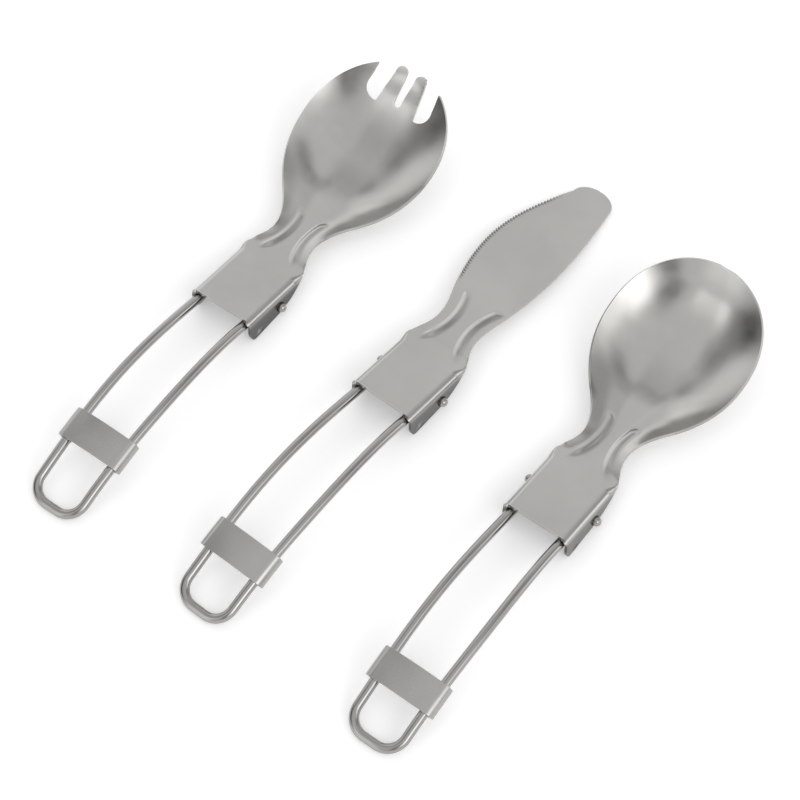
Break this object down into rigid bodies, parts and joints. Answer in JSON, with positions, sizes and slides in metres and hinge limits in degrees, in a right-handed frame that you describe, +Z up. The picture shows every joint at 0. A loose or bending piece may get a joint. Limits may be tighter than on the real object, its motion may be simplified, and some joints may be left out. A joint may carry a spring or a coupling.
{
  "type": "picnic cutlery",
  "caption": "Folding picnic cutlery set of spork, knife and spoon: pressed steel heads that fold on bent wire handles, each handle with a sliding clip.",
  "frame": {"origin": "middle of the footprint of the laid-out set, on the table", "axes": "+X from the handle loops to the tips, +Y from the spoon towards the spork, +Z up from the table"},
  "size_m": [0.1758, 0.1522, 0.0228],
  "materials": {
    "pressed_steel": "satin, bead blasted, bare",
    "drawn_wire": "satin, drawn, bare",
    "folded_strip": "satin, bare"
  },
  "bodies": {
    "spoon_head": {"spoon_head": "pressed_steel"},
    "spoon_handle": {"spoon_handle": "drawn_wire"},
    "spoon_clip": {"spoon_clip": "folded_strip"},
    "knife_head": {"knife_head": "pressed_steel"},
    "knife_handle": {"knife_handle": "drawn_wire"},
    "knife_clip": {"knife_clip": "folded_strip"},
    "spork_head": {"spork_head": "pressed_steel"},
    "spork_handle": {"spork_handle": "drawn_wire"},
    "spork_clip": {"spork_clip": "folded_strip"}
  },
  "joints": [
    {"name": "spoon_fold", "type": "hinge", "parent": "spoon_head", "child": "spoon_handle", "pos_m": [-0.00217, -0.05478, 0.00265], "axis": [0.0112, -0.9999, 0], "range_deg": [0, 180]},
    {"name": "spoon_clip_slide", "type": "hinge", "parent": "spoon_handle", "child": "spoon_clip", "pos_m": [-0.04285, -0.05524, -0.09998], "axis": [-0.0112, 0.9999, 0], "range_deg": [-3.73, 25.61]},
    {"name": "knife_lift", "type": "slide", "parent": "spoon_head", "child": "knife_head", "axis": [0, 0, 1], "range_m": [0, 0.1]},
    {"name": "knife_fold", "type": "hinge", "parent": "knife_head", "child": "knife_handle", "pos_m": [0.00283, -0.00128, 0.00365], "axis": [-0.0279, -0.9996, 0], "range_deg": [0, 175]},
    {"name": "knife_clip_slide", "type": "hinge", "parent": "knife_handle", "child": "knife_clip", "pos_m": [-0.0383, -0.00013, -0.0988], "axis": [0.0279, 0.9996, 0], "range_deg": [-4.3, 26.8]},
    {"name": "spork_lift", "type": "slide", "parent": "spoon_head", "child": "spork_head", "axis": [0, 0, 1], "range_m": [0, 0.1]},
    {"name": "spork_fold", "type": "hinge", "parent": "spork_head", "child": "spork_handle", "pos_m": [0.00043, 0.05292, 0.00265], "axis": [0.0187, -0.9998, 0], "range_deg": [0, 180]},
    {"name": "spork_clip_slide", "type": "hinge", "parent": "spork_handle", "child": "spork_clip", "pos_m": [-0.04073, 0.05215, -0.09979], "axis": [-0.0187, 0.9998, 0], "range_deg": [-5.81, 24.05]}
  ]
}
